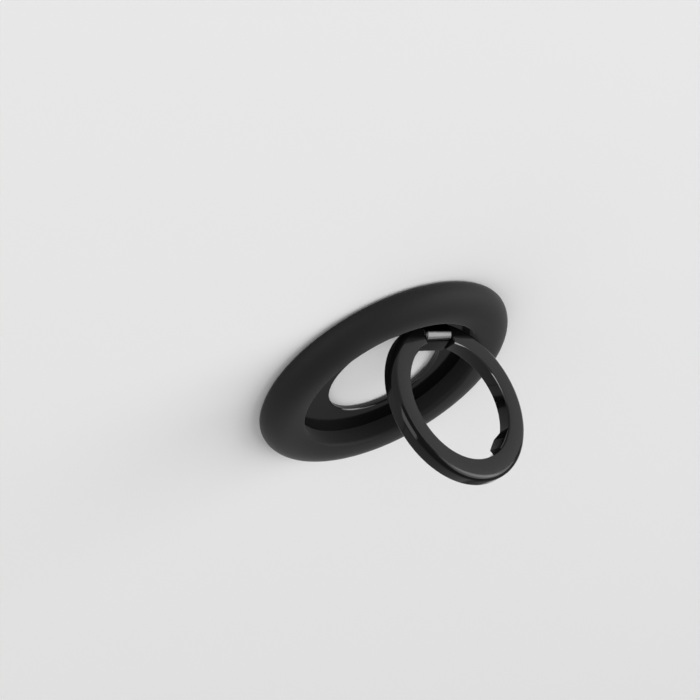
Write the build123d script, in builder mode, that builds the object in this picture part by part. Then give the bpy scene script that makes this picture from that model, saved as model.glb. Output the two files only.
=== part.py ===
# Magnetic ring holder, with a finger ring that folds into its recess.
# Origin: centre of the back face. +Z points away from what it is stuck to, +Y to the hinge.
from build123d import *
from math import cos, degrees, radians, sin
import os

os.makedirs("parts", exist_ok=True)

# Driving dimensions in millimetres and degrees, from the hole in the middle outward

# Round hole through the plates, and the thin plates themselves
hole_radius = 13.0
hole_chamfer = 0.25
pad_thickness = 0.25
cover_thickness = 0.5
floor_thickness = 0.65
cover_step = 0.1
pad_step = 0.6
pad_margin = 0.3

# Finger ring
ring_to_hole = 0.3
ring_width = 4.7
ring_thickness = 3.2
ring_face_rounding = 1.2
ring_back_rounding = 0.35
ring_inner_chamfer = 0.25
folded_shift = 0.6
open_angle = 76.2

# Lug on the finger ring's inner wall, a wedge that is highest at the ring's back. Its angles are
# counted from the end opposite the hinge.
lug_start = 32.0
lug_crest = 47.5
lug_end = 59.5
lug_tip_height = 0.8
lug_height = 1.1
lug_front_share = 0.3
lug_setback = 0.4

# Hinge
pin_to_ring_bore = 2.16
axis_above_floor = 2.85
barrel_radius = 2.2
block_width = 7.5
block_end_rounding = 0.5
nose_rounding = 0.4
nose_to_axis = 2.85
washer_thickness = 0.2
washer_inset = 0.5
pin_radius = 0.75
pin_grip = 2.8
pin_chamfer = 0.15
screw_radius = 0.6
screw_head_radius = 1.15
screw_socket_radius = 0.5
screw_socket_depth = 0.35
screw_grip = 1.7
screw_spacing = 4.2
screw_to_nose = 1.4

# Soft ring round the recess
ring_to_wall = 2.5
rim_to_crest = 3.0
crest_to_side = 5.75
crest_height = 5.65
rim_drop = 0.4
rim_rounding = 1.0
widest_height = 1.4
foot_height = 0.15
foot_inset = 1.0
skin_side_wall = 1.2
skin_top_wall = 1.0
skin_recess_wall = 0.8
core_rounding = 0.5

# Magnets and the steel ring over them
magnet_count = 18
magnet_thickness = 1.8
magnet_spacing = 0.35
shunt_thickness = 0.4
channel_outer_wall = 1.4
channel_inner_wall = 0.9

# Clearances, and how far a feature reaches into what carries it
seat_gap = 0.03
running_gap = 0.05
pin_gap = 0.04
merge_depth = 0.3

# Radii and heights that follow from the ones above
ring_inner_radius = hole_radius + ring_to_hole
ring_outer_radius = ring_inner_radius + ring_width
rim_radius = ring_outer_radius + ring_to_wall
crest_radius = rim_radius + rim_to_crest
outer_radius = crest_radius + crest_to_side
floor_bottom = pad_thickness + cover_thickness
floor_top = floor_bottom + floor_thickness
core_outer_radius = outer_radius - skin_side_wall
core_inner_radius = rim_radius + skin_recess_wall
core_height = crest_height - skin_top_wall
channel_outer = core_outer_radius - channel_outer_wall
channel_inner = core_inner_radius + channel_inner_wall
channel_top = floor_bottom + magnet_thickness + shunt_thickness

# Places round the hinge that follow from the ones above
axis_to_ring_centre = ring_inner_radius + pin_to_ring_bore
axis_y = axis_to_ring_centre + folded_shift
axis_height = floor_top + axis_above_floor
ring_gap = block_width + 2 * (washer_thickness + running_gap)
pin_length = ring_gap + 2 * pin_grip
screw_y = axis_y - nose_to_axis + screw_to_nose
screw_sides = (-screw_spacing / 2, screw_spacing / 2)

# The hinge plane looks along the pin. The ring plane lies on the finger ring's face and
# carries its own axes: local Y points to the hinge, local Z out of the face.
lean = radians(open_angle)
pin_depth = ring_thickness / 2
hinge_plane = Plane(origin=(0, axis_y, axis_height), x_dir=(0, 1, 0), z_dir=(1, 0, 0))
ring_plane = Plane(
    origin=(
        0,
        axis_y - axis_to_ring_centre * cos(lean) + pin_depth * sin(lean),
        axis_height + axis_to_ring_centre * sin(lean) + pin_depth * cos(lean),
    ),
    x_dir=(1, 0, 0),
    z_dir=(0, sin(lean), cos(lean)),
)
ring_section = Plane(origin=ring_plane.origin, x_dir=ring_plane.x_dir, z_dir=-ring_plane.y_dir)


def save(part, name):
    """Label a finished piece and write it to its own file."""
    part.label = name
    export_step(part, f"parts/{name}.step")


def ring_place(radius, turn):
    """A place in the ring plane; the turn runs from the end opposite the hinge towards +X."""
    return radius * sin(radians(turn)), -radius * cos(radians(turn))


def corner(sketch, x, y):
    """The vertex of a sketch nearest to a place in the sketch's own axes."""
    return sketch.vertices().sort_by_distance((x, y))[0]


# Soft ring: one silicone moulding. Its foot stands clear of z = 0 and curves out to the widest
# line, its dome is a quarter ellipse from there up to the crest, a shallow arc falls to the rim,
# and a straight wall drops to the recess floor.
with BuildPart() as soft_ring:
    with BuildSketch(Plane.XZ) as skin_section:
        with BuildLine():
            foot = Line((core_outer_radius, foot_height), (outer_radius - foot_inset, foot_height))
            EllipticalCenterArc(
                (outer_radius - foot_inset, widest_height),
                foot_inset,
                widest_height - foot_height,
                start_angle=270,
                arc_size=90,
            )
            dome = EllipticalCenterArc(
                (crest_radius, widest_height),
                outer_radius - crest_radius,
                crest_height - widest_height,
                arc_size=90,
            )
            slope = TangentArc(dome @ 1, (rim_radius, crest_height - rim_drop), tangent=(-1, 0))
            recess_wall = Line(slope @ 1, (rim_radius, floor_top))
            step = Line(recess_wall @ 1, (core_inner_radius, floor_top))
            inner_wall = Line(step @ 1, (core_inner_radius, core_height))
            ceiling = Line(inner_wall @ 1, (crest_radius, core_height))
            hollow = EllipticalCenterArc(
                (crest_radius, widest_height),
                core_outer_radius - crest_radius,
                core_height - widest_height,
                arc_size=90,
            )
            Line(hollow @ 0, foot @ 0)
        make_face()
        fillet(corner(skin_section, rim_radius, crest_height - rim_drop), rim_rounding)
        fillet(corner(skin_section, core_inner_radius, core_height), core_rounding)
    revolve(axis=Axis.Z)
save(soft_ring.part, "soft_ring")

# Carrier: the rigid moulding that fills the soft ring, with a channel open at the back
with BuildPart() as carrier:
    with BuildSketch(Plane.XZ) as carrier_section:
        with BuildLine():
            top_arc = EllipticalCenterArc(
                (crest_radius, widest_height),
                core_outer_radius - crest_radius - seat_gap,
                core_height - widest_height - seat_gap,
                arc_size=90,
            )
            top = Line(top_arc @ 1, (core_inner_radius + seat_gap, core_height - seat_gap))
            back = Line((core_inner_radius + seat_gap, floor_bottom), (core_outer_radius - seat_gap, floor_bottom))
            Line(top @ 1, back @ 0)
            Line(back @ 1, top_arc @ 0)
        make_face()
        fillet(corner(carrier_section, core_inner_radius + seat_gap, core_height - seat_gap), core_rounding)
    revolve(axis=Axis.Z)
    with BuildSketch(Plane.XY.offset(floor_bottom)):
        Circle(channel_outer)
        Circle(channel_inner, mode=Mode.SUBTRACT)
    extrude(amount=channel_top - floor_bottom, mode=Mode.SUBTRACT)
save(carrier.part, "carrier")

# Steel ring that closes the magnets' field, at the top of the channel
with BuildPart() as shunt_ring:
    with BuildSketch(Plane.XY.offset(channel_top - shunt_thickness)):
        Circle(channel_outer - seat_gap)
        Circle(channel_inner + seat_gap, mode=Mode.SUBTRACT)
    extrude(amount=shunt_thickness)
save(shunt_ring.part, "shunt_ring")

# Arc magnets, side by side under the steel ring
magnet_pitch = 360 / magnet_count
magnet_span = magnet_pitch - degrees(magnet_spacing / channel_inner)
for number in range(magnet_count):
    first_angle = number * magnet_pitch + (magnet_pitch - magnet_span) / 2
    with BuildPart() as magnet:
        with BuildSketch(Plane.XY.offset(floor_bottom)):
            with BuildLine():
                outer_arc = CenterArc((0, 0), channel_outer - seat_gap, first_angle, magnet_span)
                inner_arc = CenterArc((0, 0), channel_inner + seat_gap, first_angle, magnet_span)
                Line(inner_arc @ 0, outer_arc @ 0)
                Line(inner_arc @ 1, outer_arc @ 1)
            make_face()
        extrude(amount=magnet_thickness)
    save(magnet.part, f"magnet_{number + 1:02d}")

# Floor of the recess, with the hole's chamfered lip and two screw holes under the hinge block
with BuildPart() as floor_plate:
    with BuildSketch(Plane.XY.offset(floor_bottom)):
        Circle(core_inner_radius)
        Circle(hole_radius, mode=Mode.SUBTRACT)
        with Locations(*[(side, screw_y) for side in screw_sides]):
            Circle(screw_radius + seat_gap, mode=Mode.SUBTRACT)
    extrude(amount=floor_thickness)
    lip = floor_plate.faces().sort_by(Axis.Z)[-1].edges().filter_by(GeomType.CIRCLE)
    chamfer(lip.filter_by(lambda edge: abs(edge.radius - hole_radius) < seat_gap), hole_chamfer)
save(floor_plate.part, "floor_plate")

# Back cover: closes the magnet channel, with a countersink for each screw
with BuildPart() as back_cover:
    with BuildSketch(Plane.XY.offset(pad_thickness)):
        Circle(core_outer_radius - seat_gap)
        Circle(hole_radius + cover_step, mode=Mode.SUBTRACT)
    extrude(amount=cover_thickness)
    with Locations(*[(side, screw_y, pad_thickness) for side in screw_sides]):
        Cone(
            screw_head_radius + seat_gap,
            screw_radius + seat_gap,
            cover_thickness,
            align=(Align.CENTER, Align.CENTER, Align.MIN),
            mode=Mode.SUBTRACT,
        )
save(back_cover.part, "back_cover")

# Non-slip pad that makes the back face and covers the screws
with BuildPart() as back_pad:
    with BuildSketch(Plane.XY):
        Circle(core_outer_radius - pad_margin)
        Circle(hole_radius + pad_step, mode=Mode.SUBTRACT)
    extrude(amount=pad_thickness)
save(back_pad.part, "back_pad")

# Hinge block: a barrel round the pin, with a flat top that runs to the nose over the hole's edge
with BuildPart() as hinge_block:
    with BuildSketch(hinge_plane) as block_section:
        Circle(barrel_radius)
        with BuildLine():
            Polyline(
                (-nose_to_axis, floor_top - axis_height),
                (barrel_radius, floor_top - axis_height),
                (barrel_radius, 0),
                (0, 0),
                (0, barrel_radius),
                (-nose_to_axis, barrel_radius),
                close=True,
            )
        make_face()
        fillet(corner(block_section, -nose_to_axis, barrel_radius), nose_rounding)
    extrude(amount=block_width / 2, both=True)
    end_edges = hinge_block.faces().filter_by(Axis.X).edges()
    fillet(end_edges.filter_by(lambda edge: edge.center().Z > floor_top + seat_gap), block_end_rounding)
    with BuildSketch(hinge_plane):
        Circle(pin_radius + pin_gap)
    extrude(amount=block_width, both=True, mode=Mode.SUBTRACT)
    with BuildSketch(Plane.XY.offset(floor_top)):
        with Locations(*[(side, screw_y) for side in screw_sides]):
            Circle(screw_radius + seat_gap)
    extrude(amount=screw_grip + seat_gap, mode=Mode.SUBTRACT)
save(hinge_block.part, "hinge_block")

# Two countersunk screws with hexagon sockets, from the back cover up into the hinge block
with BuildPart() as hinge_screws:
    with Locations(*[(side, screw_y, pad_thickness) for side in screw_sides]):
        Cone(
            screw_head_radius,
            screw_radius,
            cover_thickness,
            align=(Align.CENTER, Align.CENTER, Align.MIN),
        )
        Cylinder(
            screw_radius,
            cover_thickness + floor_thickness + screw_grip,
            align=(Align.CENTER, Align.CENTER, Align.MIN),
        )
    with BuildSketch(Plane.XY.offset(pad_thickness)):
        with Locations(*[(side, screw_y) for side in screw_sides]):
            RegularPolygon(screw_socket_radius, side_count=6)
    extrude(amount=screw_socket_depth, mode=Mode.SUBTRACT)
save(hinge_screws.part, "hinge_screws")

# Friction washers, one on each end of the hinge block
washer_inner_face = block_width / 2
for name, side_x in (("washer_left", -washer_inner_face - washer_thickness), ("washer_right", washer_inner_face)):
    with BuildPart() as washer:
        with BuildSketch(hinge_plane.offset(side_x)):
            Circle(barrel_radius - washer_inset)
            Circle(pin_radius + pin_gap, mode=Mode.SUBTRACT)
        extrude(amount=washer_thickness)
    save(washer.part, name)

# Finger ring: a turned band with a rounded front edge, split where it straddles the hinge block,
# with a lug that grows from the inner wall between a low front section and a high back one
with BuildPart() as finger_ring:
    with BuildSketch(ring_section) as band_section:
        with BuildLine():
            Polyline(
                (ring_inner_radius, -ring_thickness),
                (ring_outer_radius, -ring_thickness),
                (ring_outer_radius, 0),
                (ring_inner_radius, 0),
                close=True,
            )
        make_face()
        fillet(corner(band_section, ring_outer_radius, 0), ring_face_rounding)
        fillet(corner(band_section, ring_outer_radius, -ring_thickness), ring_back_rounding)
        fillet(corner(band_section, ring_inner_radius, -ring_thickness), ring_back_rounding)
        chamfer(corner(band_section, ring_inner_radius, 0), ring_inner_chamfer)
    revolve(axis=Axis(ring_plane.origin, ring_plane.z_dir))
    with BuildSketch(ring_plane):
        with Locations((0, ring_outer_radius)):
            Rectangle(ring_gap, 2 * (ring_width + lug_height))
    extrude(amount=2 * ring_thickness, both=True, mode=Mode.SUBTRACT)
    for depth, share in ((ring_thickness - ring_back_rounding, 1), (lug_setback, lug_front_share)):
        with BuildSketch(ring_plane.offset(-depth)):
            with BuildLine():
                root = CenterArc((0, 0), ring_inner_radius + merge_depth, lug_start - 90, lug_end - lug_start)
                Polyline(
                    root @ 0,
                    ring_place(ring_inner_radius - share * lug_tip_height, lug_start),
                    ring_place(ring_inner_radius - share * lug_height, lug_crest),
                    root @ 1,
                )
            make_face()
    loft(ruled=True)
    with BuildSketch(hinge_plane.offset(-pin_length / 2 - seat_gap)):
        Circle(pin_radius + seat_gap)
    extrude(amount=pin_length / 2 + ring_outer_radius, mode=Mode.SUBTRACT)
save(finger_ring.part, "finger_ring")

# Hinge pin: held in the finger ring's two ears, and turning in the block
with BuildPart() as hinge_pin:
    with BuildSketch(hinge_plane.offset(-pin_length / 2)):
        Circle(pin_radius)
    extrude(amount=pin_length)
    chamfer(hinge_pin.edges().filter_by(GeomType.CIRCLE), pin_chamfer)
save(hinge_pin.part, "hinge_pin")
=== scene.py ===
# %% [markdown]
# Magnetic phone ring holder: a soft domed ring round a recess, and a glossy finger ring on a steel
# hinge that opens as a grip or a stand. This lesson dresses the ready construction, piece by
# piece: each visible part is turned or cut again as a smooth mesh, and then gets its finish.

from math import asin, cos, degrees, pi, radians, sin, sqrt

import bmesh
import bpy
from mathutils import Matrix, Vector


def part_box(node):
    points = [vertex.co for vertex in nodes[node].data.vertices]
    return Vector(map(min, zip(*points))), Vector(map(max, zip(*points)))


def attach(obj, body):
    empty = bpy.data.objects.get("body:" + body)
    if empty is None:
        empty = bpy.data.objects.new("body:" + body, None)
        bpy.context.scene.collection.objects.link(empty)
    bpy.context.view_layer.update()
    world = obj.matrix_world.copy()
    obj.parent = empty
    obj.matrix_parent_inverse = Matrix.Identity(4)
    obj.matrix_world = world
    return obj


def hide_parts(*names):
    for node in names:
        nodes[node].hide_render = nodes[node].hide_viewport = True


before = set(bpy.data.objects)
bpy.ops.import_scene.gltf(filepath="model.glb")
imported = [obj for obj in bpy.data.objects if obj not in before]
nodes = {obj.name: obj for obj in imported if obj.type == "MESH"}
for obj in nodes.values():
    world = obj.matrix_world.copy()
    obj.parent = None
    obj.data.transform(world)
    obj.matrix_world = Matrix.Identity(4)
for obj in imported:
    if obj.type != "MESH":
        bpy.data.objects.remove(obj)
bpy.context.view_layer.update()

# %% [markdown]
# The sizes below are the real ones, in millimetres, and the frame gives the outer ones, so that a
# piece made here can't drift from the construction. Blender works in metres, so MM turns one into
# the other at the moment when a mesh is made.

# %% Sizes read from the frame
MM = 0.001


def reach(node):
    """The lowest and the highest corner of a node, in millimetres."""
    low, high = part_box(node)
    return low / MM, high / MM


skin_low, skin_high = reach("soft_ring")
plate_low, plate_high = reach("floor_plate")
pad_low, pad_high = reach("back_pad")
block_low, block_high = reach("hinge_block")
outer_radius = skin_high.x
crest_height = skin_high.z
floor_top = plate_high.z
print("across:", round(2 * outer_radius, 2), "crest:", round(crest_height, 2))
print("top of the recess floor:", round(floor_top, 2))

# %% [markdown]
# Every step of modelling needs the same few moves: leave nothing selected, open one piece for
# editing, pick edges or faces by their place, and put the finished piece at the origin. The frame's
# nodes come in selected, and an operator acts on all that is selected, so each piece starts clean.
# By hand one would click on an edge. In a script its place picks it, and that stays true when a
# size changes, where an index would not. NEAR is how far off a place may lie and still count, and
# an edge that turns by more than SHARP degrees is shaded as an edge.

# %% Helpers for edit mode
NEAR = 0.01 * MM
SHARP = 35


def clear_selection():
    """Leave nothing selected."""
    bpy.ops.object.select_all(action="DESELECT")


def select_alone(piece):
    """Select one piece alone, and make it the active one."""
    clear_selection()
    piece.select_set(True)
    bpy.context.view_layer.objects.active = piece


def open_piece(piece):
    """Select one piece alone and enter edit mode on it."""
    select_alone(piece)
    bpy.ops.object.mode_set(mode="EDIT")


def close_piece(piece, name):
    """Leave edit mode, name the piece and put its place into its mesh."""
    bpy.ops.object.mode_set(mode="OBJECT")
    piece.name = name
    piece.data.name = name
    bpy.ops.object.transform_apply(location=True, rotation=True, scale=True)
    return piece


def pick_edges(piece, passes):
    """In edit mode, select the edges whose two ends both pass a test on their place."""
    bpy.context.tool_settings.mesh_select_mode = (False, True, False)
    bpy.ops.mesh.select_all(action="DESELECT")
    mesh = bmesh.from_edit_mesh(piece.data)
    chosen = [edge for edge in mesh.edges if all(passes(vertex.co) for vertex in edge.verts)]
    for edge in chosen:
        edge.select_set(True)
    bmesh.update_edit_mesh(piece.data)
    return len(chosen)


def pick_faces(piece, passes):
    """In edit mode, select the faces whose middle passes a test on its place."""
    bpy.context.tool_settings.mesh_select_mode = (False, False, True)
    bpy.ops.mesh.select_all(action="DESELECT")
    mesh = bmesh.from_edit_mesh(piece.data)
    chosen = [face for face in mesh.faces if passes(face.calc_center_median())]
    for face in chosen:
        face.select_set(True)
    bmesh.update_edit_mesh(piece.data)
    return len(chosen)


def round_edges(offset, segments):
    """Bevel the selected edges to an arc, its size in millimetres."""
    bpy.ops.mesh.bevel(
        offset=offset * MM, segments=segments, profile=0.5, affect="EDGES", clamp_overlap=True
    )


def radius_of(place):
    """Distance of a place from the Z axis."""
    return sqrt(place.x**2 + place.y**2)


def on_circle(radius, height):
    """A test that a place lies on a circle round the Z axis, given in millimetres."""

    def passes(place):
        return abs(radius_of(place) - radius * MM) < NEAR and abs(place.z - height * MM) < NEAR

    return passes


def smooth(piece):
    """Shade smooth, apart from edges that turn by more than the sharp angle."""
    select_alone(piece)
    bpy.ops.object.shade_smooth_by_angle(angle=radians(SHARP))


def count(piece):
    """Print how large a piece is and how many faces it has."""
    size = [round(side / MM, 2) for side in piece.dimensions]
    print(piece.name, "faces:", len(piece.data.polygons), "size in mm:", size)


# %% [markdown]
# The soft ring, the recess floor and the grip pad are all round about the same axis: the real
# ones come out of turned moulds or off a lathe. A mesh can be turned in two ways: spin a drawn
# outline, or take one circle and pull it along the outline as a potter pulls a wall. The second
# keeps even quads with no seam to weld, so it is used for all of them. The large soft ring gets
# more sides than the rest, so that its outline stays round close up.

# %% Turn a piece from one circle
SIDES = 240
LARGE_SIDES = 288


def turned(name, outline, sides=SIDES):
    """Pull a circle through (radius, height) places in millimetres; the last closes on the first."""
    radius, height = outline[0]
    clear_selection()
    bpy.ops.mesh.primitive_circle_add(
        vertices=sides, radius=radius * MM, location=(0, 0, height * MM)
    )
    piece = bpy.context.object
    bpy.ops.object.mode_set(mode="EDIT")
    bpy.ops.mesh.select_all(action="SELECT")
    for next_radius, next_height in outline[1:]:
        rise = (0, 0, (next_height - height) * MM)
        bpy.ops.mesh.extrude_region_move(TRANSFORM_OT_translate={"value": rise})
        share = next_radius / radius
        bpy.ops.transform.resize(value=(share, share, 1), center_override=(0, 0, 0))
        radius, height = next_radius, next_height
    bpy.ops.mesh.select_all(action="DESELECT")
    bpy.context.tool_settings.mesh_select_mode = (False, True, False)
    bpy.ops.mesh.select_non_manifold()
    bpy.ops.mesh.bridge_edge_loops()
    bpy.ops.mesh.select_all(action="SELECT")
    bpy.ops.mesh.normals_make_consistent(inside=False)
    return close_piece(piece, name)


def ellipse_places(centre, half_width, half_height, first, last, steps):
    """Places along an ellipse's arc, its angles in degrees from the outward direction."""
    places = []
    for step in range(steps + 1):
        angle = radians(first + (last - first) * step / steps)
        places.append((centre[0] + half_width * cos(angle), centre[1] + half_height * sin(angle)))
    return places


# %% [markdown]
# The soft ring is silicone moulded over a rigid core. Its foot stands just clear of the face that
# carries it and curves out to the widest line, the dome rises from there as a quarter of an
# ellipse, passes the crest, and falls a little to the rim of the recess. Two arcs of an ellipse,
# one shallow arc and the rim's rounding draw all of it, each running into the next without a
# corner.

# %% Soft ring
widest_height = 1.4
foot_height = skin_low.z
foot_inset = 1.0
crest_radius = 23.5
rim_radius = 20.5
rim_drop = 0.4
rim_rounding = 1.0
side_wall = 1.2
top_wall = 1.0
recess_wall = 0.8
foot_steps, dome_steps, hollow_steps, rim_steps = 14, 28, 12, 6


def rim_places(steps):
    """Places on the arc that leaves the crest level, and on the rounding from there to the wall."""
    run = crest_radius - rim_radius
    bend = (run**2 + rim_drop**2) / (2 * rim_drop)
    bend_middle = (crest_radius, crest_height - bend)
    middle_run = run - rim_rounding
    middle_rise = sqrt((bend - rim_rounding) ** 2 - middle_run**2)
    rounding_middle = (crest_radius - middle_run, crest_height - bend + middle_rise)
    tilt = degrees(asin(middle_run / (bend - rim_rounding)))
    slope = ellipse_places(bend_middle, bend, bend, 90, 90 + tilt, steps)
    rounding = ellipse_places(
        rounding_middle, rim_rounding, rim_rounding, 90 + tilt, 180, 2 * steps
    )
    return slope[1:] + rounding[1:]


def make_soft_ring():
    """The silicone skin with its hollow, as one turned piece."""
    foot_middle = (outer_radius - foot_inset, widest_height)
    foot_drop = widest_height - foot_height
    foot = ellipse_places(foot_middle, foot_inset, foot_drop, -90, 0, foot_steps)
    dome_middle = (crest_radius, widest_height)
    dome_width = outer_radius - crest_radius
    dome_rise = crest_height - widest_height
    dome = ellipse_places(dome_middle, dome_width, dome_rise, 0, 90, dome_steps)
    hollow = ellipse_places(
        dome_middle, dome_width - side_wall, dome_rise - top_wall, 90, 0, hollow_steps
    )
    step_radius = rim_radius + recess_wall
    outline = [*foot, *dome[1:], *rim_places(rim_steps)]
    outline += [(rim_radius, floor_top), (step_radius, floor_top)]
    outline += [(step_radius, crest_height - top_wall), *hollow]
    outline.append((outer_radius - side_wall, foot_height))
    piece = turned("soft_skin_ring", outline, LARGE_SIDES)
    smooth(piece)
    count(piece)
    return piece


soft_skin_ring = make_soft_ring()

# %% [markdown]
# Holes come next. A boolean with a cylinder is the mesh form of a drill: the bit is added along
# the hole's line, taken from the piece and thrown away. Where a hole is open, the bit runs PAST
# the piece, because two faces in one plane leave slivers. The exact solver leaves clean walls,
# and the piece stays closed, so it can still be printed or weighed.

# %% Drill round holes
BIT_SIDES = 48
PAST = 1.0


def drill(piece, radius, start, end):
    """Cut a round hole along the line from start to end, all in millimetres."""
    start, end = Vector(start), Vector(end)
    clear_selection()
    bpy.ops.mesh.primitive_cylinder_add(
        vertices=BIT_SIDES,
        radius=radius * MM,
        depth=(end - start).length * MM,
        location=(start + end) / 2 * MM,
        rotation=(end - start).to_track_quat("Z", "Y").to_euler(),
    )
    bit = bpy.context.object
    cut = piece.modifiers.new("hole", "BOOLEAN")
    cut.operation = "DIFFERENCE"
    cut.solver = "EXACT"
    cut.object = bit
    select_alone(piece)
    bpy.ops.object.modifier_apply(modifier=cut.name)
    bpy.data.objects.remove(bit)


# %% [markdown]
# The recess floor is a thin black plate with a round hole. The hole's lip has a narrow chamfer,
# and that chamfer is the fine bright line round the hole. Its two edges are broken a little more,
# because a mirror finish shows a truly sharp edge as a paper cut. Two screws pass up through the
# plate into the hinge block, so it has two small holes that the block hides.

# %% Recess floor
hole_radius = 13.0
hole_chamfer = 0.25
lip_edge_break = 0.06
screw_radius = 0.63
screw_spacing = 4.2
screw_to_nose = 1.4
screw_y = block_low.y + screw_to_nose


def make_floor_plate():
    """The plate with its lip, and the two screw holes."""
    edge = rim_radius + recess_wall
    low = plate_low.z
    outline = [(edge, low), (edge, floor_top), (hole_radius + hole_chamfer, floor_top)]
    outline += [(hole_radius, floor_top - hole_chamfer), (hole_radius, low)]
    piece = turned("recess_floor", outline)
    open_piece(piece)
    pick_edges(piece, on_circle(hole_radius + hole_chamfer, floor_top))
    round_edges(lip_edge_break, segments=3)
    pick_edges(piece, on_circle(hole_radius, floor_top - hole_chamfer))
    round_edges(lip_edge_break, segments=3)
    close_piece(piece, "recess_floor")
    for side in (-1, 1):
        x = side * screw_spacing / 2
        drill(piece, screw_radius, (x, screw_y, low - PAST), (x, screw_y, floor_top + PAST))
    smooth(piece)
    count(piece)
    return piece


recess_floor = make_floor_plate()

# %% [markdown]
# The grip pad is the face that the holder rests on: a thin soft ring, die cut from sheet, whose
# lower edges are slightly rounded. A plain tube would do for its shape, but a soft material
# never has a sharp edge, and the bevel is what catches the light when the holder is turned over.

# %% Grip pad
pad_past_hole = 0.6
pad_edge_rounding = 0.08


def make_grip_pad():
    """The non-slip pad on the back face."""
    outer = pad_high.x
    inner = hole_radius + pad_past_hole
    outline = [(outer, pad_low.z), (outer, pad_high.z), (inner, pad_high.z), (inner, pad_low.z)]
    piece = turned("grip_pad", outline)
    open_piece(piece)
    for radius in (outer, inner):
        pick_edges(piece, on_circle(radius, pad_low.z))
        round_edges(pad_edge_rounding, segments=3)
    close_piece(piece, "grip_pad")
    smooth(piece)
    count(piece)
    return piece


grip_pad = make_grip_pad()

# %% [markdown]
# The hinge block is a machined steel block screwed to the plate. Its back corner is rounded about
# the pin into a barrel, its top runs flat to the nose over the hole, and its ends are softly
# rounded. A side outline could be extruded too, but then the ends stay sharp. So it starts as a
# cube of the block's size, and bevels do the rest, as a mill would.

# %% Hinge block
axis_height = 4.25
axis_y = 16.06
barrel_radius = block_high.z - axis_height
nose_rounding = 0.4
block_end_rounding = 0.5
pin_hole_radius = 0.79
screw_depth = 1.73


def make_hinge_block():
    """The block with its barrel, its pin hole and its two screw holes."""
    size = block_high - block_low
    middle = (block_low + block_high) / 2
    clear_selection()
    bpy.ops.mesh.primitive_cube_add(size=1, location=middle * MM, scale=size * MM)
    piece = bpy.context.object
    close_piece(piece, "hinge_body")
    open_piece(piece)
    for y, rounding, segments in (
        (block_high.y, barrel_radius, 28),
        (block_low.y, nose_rounding, 8),
    ):
        corner = Vector((y, block_high.z)) * MM
        pick_edges(piece, lambda place: (place.yz - corner).length < NEAR)
        round_edges(rounding, segments)
    for end in (block_low.x, block_high.x):
        pick_edges(piece, lambda place: abs(place.x - end * MM) < NEAR)
        # The edge that stands on the plate stays sharp.
        mesh = bmesh.from_edit_mesh(piece.data)
        for edge in mesh.edges:
            if all(abs(vertex.co.z - block_low.z * MM) < NEAR for vertex in edge.verts):
                edge.select_set(False)
        bmesh.update_edit_mesh(piece.data)
        round_edges(block_end_rounding, segments=6)
    close_piece(piece, "hinge_body")
    pin_start = (block_low.x - PAST, axis_y, axis_height)
    pin_end = (block_high.x + PAST, axis_y, axis_height)
    drill(piece, pin_hole_radius, pin_start, pin_end)
    for side in (-1, 1):
        x = side * screw_spacing / 2
        screw_start = (x, screw_y, block_low.z - PAST)
        screw_end = (x, screw_y, block_low.z + screw_depth)
        drill(piece, screw_radius, screw_start, screw_end)
    smooth(piece)
    count(piece)
    return piece


hinge_body = make_hinge_block()

# %% [markdown]
# The finger ring is a band of metal, turned, with a broad rounding on its outer front edge and a
# fine chamfer on its inner one, then split where it straddles the hinge and coated in gloss
# black. It is easiest to turn lying flat and to lean open at the end, so all its cuts are upright.
# The chamfer's faces also get a mark, a number kept on each face: a finish can read it later,
# where a second material slot would end in a hard line.

# %% Finger ring, turned flat
ring_inner_radius = 13.3
ring_width = 4.7
ring_outer_radius = ring_inner_radius + ring_width
ring_thickness = 3.2
ring_face_rounding = 1.2
ring_back_rounding = 0.35
ring_inner_chamfer = 0.25
ring_edge_break = 0.05
wear_start, wear_full = 82.0, 112.0


def make_flat_ring():
    """The whole band, its face up at height 0."""
    outline = [(ring_outer_radius, -ring_thickness), (ring_outer_radius, 0)]
    outline += [(ring_inner_radius, 0), (ring_inner_radius, -ring_thickness)]
    piece = turned("open_finger_ring", outline)
    open_piece(piece)
    pick_edges(piece, on_circle(ring_outer_radius, 0))
    round_edges(ring_face_rounding, segments=12)
    for radius in (ring_outer_radius, ring_inner_radius):
        pick_edges(piece, on_circle(radius, -ring_thickness))
        round_edges(ring_back_rounding, segments=6)
    pick_edges(piece, on_circle(ring_inner_radius, 0))
    round_edges(ring_inner_chamfer, segments=1)
    for radius, height in (
        (ring_inner_radius + ring_inner_chamfer, 0),
        (ring_inner_radius, -ring_inner_chamfer),
    ):
        pick_edges(piece, on_circle(radius, height))
        round_edges(ring_edge_break, segments=3)
    return close_piece(piece, "open_finger_ring")


def turn_from_foot(place):
    """The angle in degrees from the end opposite the hinge, growing towards +X."""
    return -degrees(Vector((0, -1)).angle_signed(place.xy, 0))


def mark_bare_edge(piece):
    """Mark the inner chamfer's faces with a number that grows to 1 towards the hinge."""
    mark = piece.data.attributes.new("bare_edge", "FLOAT", "FACE")
    limit = ring_inner_radius + ring_inner_chamfer
    for face in piece.data.polygons:
        if radius_of(face.center) < limit * MM and face.center.z > -ring_inner_chamfer * MM:
            wear = (abs(turn_from_foot(face.center)) - wear_start) / (wear_full - wear_start)
            mark.data[face.index].value = min(1, max(0, wear))


open_finger_ring = make_flat_ring()
mark_bare_edge(open_finger_ring)
count(open_finger_ring)

# %% [markdown]
# A low lug stands on the inner wall: a fingertip finds it to lift the ring. It is a wedge, high at
# the ring's back and low at its face. A block could be joined to the ring by a boolean, but it
# would have to follow the round wall. So the wall's own faces are cut where the lug begins, peaks
# and ends, and pushed inward onto two flats: a long one from the tip to the crest, and a ramp from
# the crest towards the hinge. Its places round the ring are angles from the end opposite the hinge.

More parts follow.
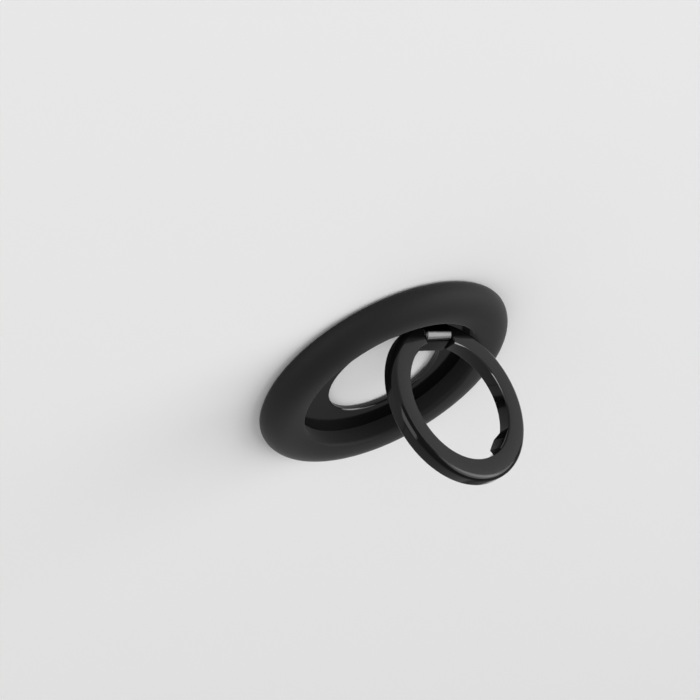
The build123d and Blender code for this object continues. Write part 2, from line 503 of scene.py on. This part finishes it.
# %% Lug on the inner wall
lug_start, lug_crest, lug_end = 32.0, 47.5, 59.5
lug_tip_height, lug_height = 0.8, 1.1
lug_front_share = 0.3
lug_setback = 0.4
lug_margin = 4.0
wall_depth = 0.5


def flat_radius(turn, first, last):
    """Distance from the ring's axis to the flat between two (turn, radius) places, at a turn."""
    a = Vector((sin(radians(first[0])), cos(radians(first[0])))) * first[1]
    b = Vector((sin(radians(last[0])), cos(radians(last[0])))) * last[1]
    ray = Vector((sin(radians(turn)), cos(radians(turn))))
    along = b - a
    return (a.x * along.y - a.y * along.x) / (ray.x * along.y - ray.y * along.x)


def raise_lug(piece):
    """Cut the inner wall round the lug, and push it in."""
    tip = (lug_start, ring_inner_radius - lug_tip_height)
    crest = (lug_crest, ring_inner_radius - lug_height)
    foot = (lug_end, ring_inner_radius)
    front = lug_setback * MM
    back = (ring_thickness - ring_back_rounding) * MM
    open_piece(piece)

    def near_lug(place):
        return (
            radius_of(place) < (ring_inner_radius + wall_depth) * MM
            and lug_start - lug_margin < turn_from_foot(place) < lug_end + lug_margin
        )

    for angle in (lug_start, lug_crest, lug_end):
        pick_faces(piece, near_lug)
        away = Vector((cos(radians(angle)), sin(radians(angle)), 0))
        bpy.ops.mesh.bisect(plane_co=(0, 0, 0), plane_no=away)
    pick_faces(piece, near_lug)
    bpy.ops.mesh.bisect(plane_co=(0, 0, -front), plane_no=(0, 0, 1))

    def under_lug(place):
        return (
            abs(radius_of(place) - ring_inner_radius * MM) < 3 * NEAR
            and place.z < -front
            and lug_start < turn_from_foot(place) < lug_end
        )

    print("faces under the lug:", pick_faces(piece, under_lug))
    bpy.ops.mesh.extrude_region_move(TRANSFORM_OT_translate={"value": (0, 0, 0)})
    mesh = bmesh.from_edit_mesh(piece.data)
    for vertex in mesh.verts:
        if vertex.select:
            turn = turn_from_foot(vertex.co)
            flat = (tip, crest) if turn < lug_crest else (crest, foot)
            rise = max(0, ring_inner_radius - flat_radius(turn, *flat)) * MM
            depth = (-vertex.co.z - front) / (back - front)
            rise *= lug_front_share + (1 - lug_front_share) * depth
            share = 1 - rise / radius_of(vertex.co)
            vertex.co.x *= share
            vertex.co.y *= share
    bmesh.update_edit_mesh(piece.data)
    return close_piece(piece, "open_finger_ring")


raise_lug(open_finger_ring)
count(open_finger_ring)

# %% [markdown]
# The split for the hinge is cut by two planes, a saw cut each, and what lies between them falls
# out. The cut ends are closed and their edges broken, as a file would break them. Then the ring is
# leaned open about the pin, and one bit as long as the pin drills the blind holes in both ears.

# %% Split, lean and drill the ring
ring_gap = 8.0
saw_edge_break = 0.08
open_angle = 76.2
axis_to_ring_centre = 15.46
pin_length = 13.6
pin_gap = 0.03


def split_ring(piece):
    """Saw the gap out, close the ends and break their edges."""
    open_piece(piece)
    half = ring_gap / 2
    for side in (-1, 1):
        pick_faces(piece, lambda place: place.y > 0)
        bpy.ops.mesh.bisect(plane_co=(side * half * MM, 0, 0), plane_no=(1, 0, 0))
    pick_faces(piece, lambda place: place.y > 0 and abs(place.x) < half * MM)
    bpy.ops.mesh.delete(type="FACE")
    bpy.ops.mesh.select_all(action="SELECT")
    bpy.ops.mesh.fill_holes(sides=0)
    for side in (-1, 1):
        pick_edges(piece, lambda place: place.y > 0 and abs(place.x - side * half * MM) < NEAR)
        round_edges(saw_edge_break, segments=2)
    return close_piece(piece, "open_finger_ring")


def lean_ring(piece):
    """Turn the flat ring about the pin to its open place."""
    lean = radians(open_angle)
    pin_place = Vector((0, axis_y, axis_height))
    centre = pin_place + axis_to_ring_centre * Vector((0, -cos(lean), sin(lean)))
    face_normal = Vector((0, sin(lean), cos(lean)))
    face_centre = (centre + face_normal * ring_thickness / 2) * MM
    piece.matrix_world = Matrix.Translation(face_centre) @ Matrix.Rotation(-lean, 4, "X")
    select_alone(piece)
    bpy.ops.object.transform_apply(location=True, rotation=True, scale=True)


split_ring(open_finger_ring)
lean_ring(open_finger_ring)
half_pin = pin_length / 2 + pin_gap
left_end, right_end = (-half_pin, axis_y, axis_height), (half_pin, axis_y, axis_height)
drill(open_finger_ring, pin_hole_radius, left_end, right_end)
smooth(open_finger_ring)
count(open_finger_ring)

# %% [markdown]
# Finishes. All of them share one effect, a grain. Its fine part is the relief, and fine and broad
# parts mixed are a mask that makes gloss and tone slightly uneven, because no real surface is quite
# even. It is a node group, built once and placed in each material with that material's values. The
# pattern reads Object coordinates, in metres, so a scale of 1000 has about one feature to a
# millimetre.

# %% Shared grain
BROAD_PER_METRE = 150


def new_group(name, inputs, outputs):
    """A shader group with a place, number inputs (name, value) and number outputs, still empty."""
    group = bpy.data.node_groups.new(name, "ShaderNodeTree")
    group.interface.new_socket("Place", in_out="INPUT", socket_type="NodeSocketVector")
    for socket_name, value in inputs:
        socket = group.interface.new_socket(socket_name, in_out="INPUT", socket_type="NodeSocketFloat")
        socket.default_value = value
    for socket_name in outputs:
        group.interface.new_socket(socket_name, in_out="OUTPUT", socket_type="NodeSocketFloat")
    return group, group.nodes.new("NodeGroupInput"), group.nodes.new("NodeGroupOutput")


def make_grain_group():
    """Fine grain: a height for bump, and a mask that also has broad patches."""
    group, start, end = new_group(
        "moulded_grain", [("Grains per metre", 4000), ("Broad share", 0.3)], ["Height", "Mask"]
    )
    fine = group.nodes.new("ShaderNodeTexNoise")
    fine.inputs["Detail"].default_value = 3
    group.links.new(start.outputs["Place"], fine.inputs["Vector"])
    group.links.new(start.outputs["Grains per metre"], fine.inputs["Scale"])
    broad = group.nodes.new("ShaderNodeTexNoise")
    broad.inputs["Scale"].default_value = BROAD_PER_METRE
    broad.inputs["Detail"].default_value = 2
    group.links.new(start.outputs["Place"], broad.inputs["Vector"])
    mix = group.nodes.new("ShaderNodeMix")
    group.links.new(start.outputs["Broad share"], mix.inputs["Factor"])
    group.links.new(fine.outputs["Fac"], mix.inputs["A"])
    group.links.new(broad.outputs["Fac"], mix.inputs["B"])
    group.links.new(fine.outputs["Fac"], end.inputs["Height"])
    group.links.new(mix.outputs["Result"], end.inputs["Mask"])
    return group


grain_group = make_grain_group()
print("group:", grain_group.name, "nodes:", len(grain_group.nodes))

# %% [markdown]
# Two helpers keep each finish to a few lines: one makes the material and sets what is the same all
# over on its Principled shader, and the other hangs the grain on it. Each finish could have its own
# tree drawn by hand, but then a better grain would have to be drawn again in every one.

# %% Material helpers
RELIEF = 0.1 * MM


def grey(value):
    """A neutral colour."""
    return (value, value, value)


def new_finish(name, colour, roughness, **plain):
    """A material with a Principled shader, its plain sockets set by name."""
    material = bpy.data.materials.new(name)
    material.use_nodes = True
    shader = material.node_tree.nodes["Principled BSDF"]
    shader.inputs["Base Color"].default_value = (*colour, 1)
    shader.inputs["Roughness"].default_value = roughness
    for socket_name, value in plain.items():
        shader.inputs[socket_name.replace("_", " ")].default_value = value
    return material, shader


def add_grain(material, shader, per_metre, bump, roughness, tones):
    """Hang the grain on a finish: relief, and (least, most) for roughness and for grey tone."""
    tree = material.node_tree
    place = tree.nodes.new("ShaderNodeTexCoord")
    grain = tree.nodes.new("ShaderNodeGroup")
    grain.node_tree = grain_group
    grain.inputs["Grains per metre"].default_value = per_metre
    tree.links.new(place.outputs["Object"], grain.inputs["Place"])
    relief = tree.nodes.new("ShaderNodeBump")
    relief.inputs["Strength"].default_value = bump
    relief.inputs["Distance"].default_value = RELIEF
    tree.links.new(grain.outputs["Height"], relief.inputs["Height"])
    tree.links.new(relief.outputs["Normal"], shader.inputs["Normal"])
    rough = tree.nodes.new("ShaderNodeMapRange")
    rough.inputs["To Min"].default_value = roughness[0]
    rough.inputs["To Max"].default_value = roughness[1]
    tree.links.new(grain.outputs["Mask"], rough.inputs["Value"])
    tree.links.new(rough.outputs["Result"], shader.inputs["Roughness"])
    tone = tree.nodes.new("ShaderNodeMix")
    tone.data_type = "RGBA"
    tone.inputs["A"].default_value = (*grey(tones[0]), 1)
    tone.inputs["B"].default_value = (*grey(tones[1]), 1)
    tree.links.new(grain.outputs["Mask"], tone.inputs["Factor"])
    tree.links.new(tone.outputs["Result"], shader.inputs["Base Color"])


def finish(pieces, material):
    """Give pieces one material in place of what they had."""
    for piece in pieces:
        piece.data.materials.clear()
        piece.data.materials.append(material)
    print(material.name, "on", len(pieces), "piece" if len(pieces) == 1 else "pieces")


# %% [markdown]
# Black silicone: matte, soft to the touch, with a very fine grain from the mould. A low IOR keeps
# its highlight dull, and a faint sheen, as on velvet, lifts the edges where it turns away, because
# the fine bloom on silicone scatters light there. A higher roughness alone would grey it all over.

# %% Silicone
silicone, shader = new_finish("black_silicone", grey(0.006), roughness=0.66, IOR=1.27)
add_grain(silicone, shader, per_metre=5000, bump=0.25, roughness=(0.6, 0.72), tones=(0.006, 0.0085))
shader.inputs["Sheen Weight"].default_value = 0.13
shader.inputs["Sheen Roughness"].default_value = 0.4
finish([soft_skin_ring], silicone)

# %% [markdown]
# Gloss black coat on the finger ring and on the floor plate: nearly black, and smooth enough to
# mirror the lamps. On the ring's fine inner chamfer the coat is thin, and towards the hinge it is
# worn through, so a hairline of dark metal shows there and catches the light. Edge wear can be
# found by a bevel node too, but that finds every edge, so the finish reads the mark instead.

# %% Coated metal
gloss_coat, shader = new_finish("gloss_black_coat", grey(0.003), roughness=0.1, IOR=1.32)
add_grain(gloss_coat, shader, per_metre=700, bump=0.02, roughness=(0.08, 0.14), tones=(0.002, 0.004))


def bare_edge(material, shader, metal):
    """Let plain metal of a grey tone show where a piece's faces are marked."""
    tree = material.node_tree
    mark = tree.nodes.new("ShaderNodeAttribute")
    mark.attribute_name = "bare_edge"
    tone = tree.nodes.new("ShaderNodeMix")
    tone.data_type = "RGBA"
    tone.inputs["B"].default_value = (*grey(metal), 1)
    tree.links.new(mark.outputs["Fac"], tone.inputs["Factor"])
    tree.links.new(shader.inputs["Base Color"].links[0].from_socket, tone.inputs["A"])
    tree.links.new(tone.outputs["Result"], shader.inputs["Base Color"])
    tree.links.new(mark.outputs["Fac"], shader.inputs["Metallic"])


bare_edge(gloss_coat, shader, 0.11)
finish([open_finger_ring], gloss_coat)
marked = [mark.value for mark in open_finger_ring.data.attributes["bare_edge"].data]
print("marked faces on the ring:", sum(value > 0.5 for value in marked))

plate_coat, shader = new_finish("plate_black_coat", grey(0.0015), roughness=0.09, IOR=1.44)
add_grain(plate_coat, shader, per_metre=2500, bump=0.02, roughness=(0.07, 0.12), tones=(0.001, 0.002))
finish([recess_floor], plate_coat)

# %% [markdown]
# Bare metals: a dark polished steel on the hinge block, plain steel inside, and nickel on the
# magnets. A metal has no colour of its own below its mirror, so Metallic is 1 and the grey is what
# it mirrors of the light. The pieces inside come from the frame as they are, and only their finish
# is new: they show when the holder is taken apart.

# %% Metals
dark_steel, shader = new_finish("dark_steel", grey(0.055), roughness=0.17, Metallic=1)
add_grain(dark_steel, shader, per_metre=1500, bump=0.03, roughness=(0.14, 0.2), tones=(0.045, 0.065))
finish([hinge_body], dark_steel)

plain_steel, shader = new_finish("plain_steel", grey(0.5), roughness=0.3, Metallic=1)
add_grain(plain_steel, shader, per_metre=1500, bump=0.05, roughness=(0.25, 0.38), tones=(0.45, 0.55))
finish([nodes[name] for name in ("hinge_pin", "hinge_screws", "shunt_ring")], plain_steel)

nickel, shader = new_finish("nickel_plate", grey(0.65), roughness=0.15, Metallic=1)
add_grain(nickel, shader, per_metre=900, bump=0.03, roughness=(0.12, 0.2), tones=(0.6, 0.7))
finish([node for name, node in nodes.items() if name.startswith("magnet_")], nickel)

# %% [markdown]
# Plastics and rubber: the carrier and its cover are dark moulded plastic, the washers a slippery
# one, and the pad a rubber that grips. They differ only in grain, roughness and tone, from the
# smooth washers to the dull pad, so each takes the same two helpers.

# %% Plastics and rubber
inner_plastic, shader = new_finish("inner_plastic", grey(0.02), roughness=0.5)
add_grain(inner_plastic, shader, per_metre=2500, bump=0.15, roughness=(0.45, 0.58), tones=(0.017, 0.024))
finish([nodes["carrier"], nodes["back_cover"]], inner_plastic)

washer_plastic, shader = new_finish("washer_plastic", grey(0.03), roughness=0.4)
add_grain(washer_plastic, shader, per_metre=2500, bump=0.1, roughness=(0.35, 0.45), tones=(0.025, 0.035))
finish([nodes["washer_left"], nodes["washer_right"]], washer_plastic)

pad_rubber, shader = new_finish("pad_rubber", grey(0.018), roughness=0.7)
add_grain(pad_rubber, shader, per_metre=3500, bump=0.3, roughness=(0.62, 0.78), tones=(0.015, 0.022))
finish([grip_pad], pad_rubber)

# %% [markdown]
# Each new piece rides on the body whose part it stands for, and hides that part. A parent could be
# set by hand, but the two helpers above also keep the part itself, hidden, for the motion and the
# weight.

# %% Ride on the bodies
for piece, body, node, slot in (
    (soft_skin_ring, "base", "soft_ring", "soft_skin"),
    (recess_floor, "base", "floor_plate", "floor_finish"),
    (grip_pad, "base", "back_pad", "pad"),
    (hinge_body, "base", "hinge_block", "hinge_metal"),
    (open_finger_ring, "ring", "finger_ring", "ring_finish"),
):
    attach(piece, body)
    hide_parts(node)
    print(piece.name, "rides on", body, "in place of", node)

# %% [markdown]
# The stage starts with a plain pale floor. The holder lies on it, and its glossy ring mirrors it,
# so it reaches far past the picture.

# %% Floor
floor_size = 4.0
floor_tone = 0.77


def make_floor():
    """A large pale sheet under the holder."""
    clear_selection()
    bpy.ops.mesh.primitive_plane_add(size=floor_size, location=(0, 0, 0))
    sheet = bpy.context.object
    sheet.name = "pale_floor"
    paper, _ = new_finish("pale_paper", grey(floor_tone), roughness=0.6)
    sheet.data.materials.append(paper)
    return sheet


print("floor, across in metres:", make_floor().dimensions.x)

# %% [markdown]
# Gloss is drawn by what it mirrors, so the lamps are large and soft, and stand where the bright
# bands on the finger ring need them: a broad key from one side, made of a bright middle and a
# wider surround so that its mirror image fades out, a low lamp beside the camera for the near arm,
# and a broad weak fill from the other side. A pale world lights the rest evenly. One lamp straight
# above would be simpler, but it would leave the round edges without a line of light.

# %% Lamps
sky_brightness = 0.22


def add_lamp(name, turn, climb, away, width, height, brightness, shape="RECTANGLE"):
    """A soft lamp aimed at the holder, placed by two angles and a distance; brightness 1 is white."""
    data = bpy.data.lights.new(name, "AREA")
    data.shape = shape
    data.size = width
    data.size_y = height
    area = width * height * (pi / 4 if shape == "ELLIPSE" else 1)
    data.energy = brightness * pi * area
    lamp = bpy.data.objects.new(name, data)
    bpy.context.scene.collection.objects.link(lamp)
    flat = away * cos(radians(climb))
    lamp.location = (flat * cos(radians(turn)), flat * sin(radians(turn)), away * sin(radians(climb)))
    lamp.rotation_euler = (-lamp.location).to_track_quat("-Z", "Y").to_euler()


add_lamp("key_lamp", turn=44, climb=28, away=2.0, width=1.2, height=1.1, brightness=3.8, shape="ELLIPSE")
add_lamp("key_edge", turn=42, climb=35, away=2.1, width=2.0, height=2.8, brightness=2.9, shape="ELLIPSE")
add_lamp("low_lamp", turn=161, climb=17, away=1.6, width=2.0, height=0.96, brightness=3.1)
add_lamp("fill_lamp", turn=-108, climb=34, away=2.4, width=4.8, height=3.1, brightness=0.5)

world = bpy.data.worlds.new("studio")
bpy.context.scene.world = world
world.use_nodes = True
world.node_tree.nodes["Background"].inputs["Color"].default_value = (1, 1, 1, 1)
world.node_tree.nodes["Background"].inputs["Strength"].default_value = sky_brightness

# %% [markdown]
# The camera stands where the photograph was taken from, as fitted to the edges seen in it. It
# looks at the holder from beyond the hinge with its top turned down, which is why it needs a roll
# as well as a place to look at. It could be turned by three angles, but a place, an aim and a roll
# can each be read and changed by itself.

# %% Camera
camera_place = Vector((-376.2, 300.79, 229.79)) * MM
camera_aim = Vector((-5.06, -1.05, -5.59)) * MM
camera_roll = 150.1
camera_lens = 129.0
camera_data = bpy.data.cameras.new("camera")
camera_data.lens = camera_lens
camera = bpy.data.objects.new("camera", camera_data)
bpy.context.scene.collection.objects.link(camera)
camera.location = camera_place
camera.rotation_mode = "QUATERNION"
towards = (camera_aim - camera_place).to_track_quat("-Z", "Y").to_matrix()
camera.rotation_quaternion = (towards @ Matrix.Rotation(radians(camera_roll), 3, "Z")).to_quaternion()
bpy.context.scene.camera = camera
bpy.context.scene.view_settings.view_transform = "Standard"
print("camera, metres from the aim:", round((camera_place - camera_aim).length, 3))
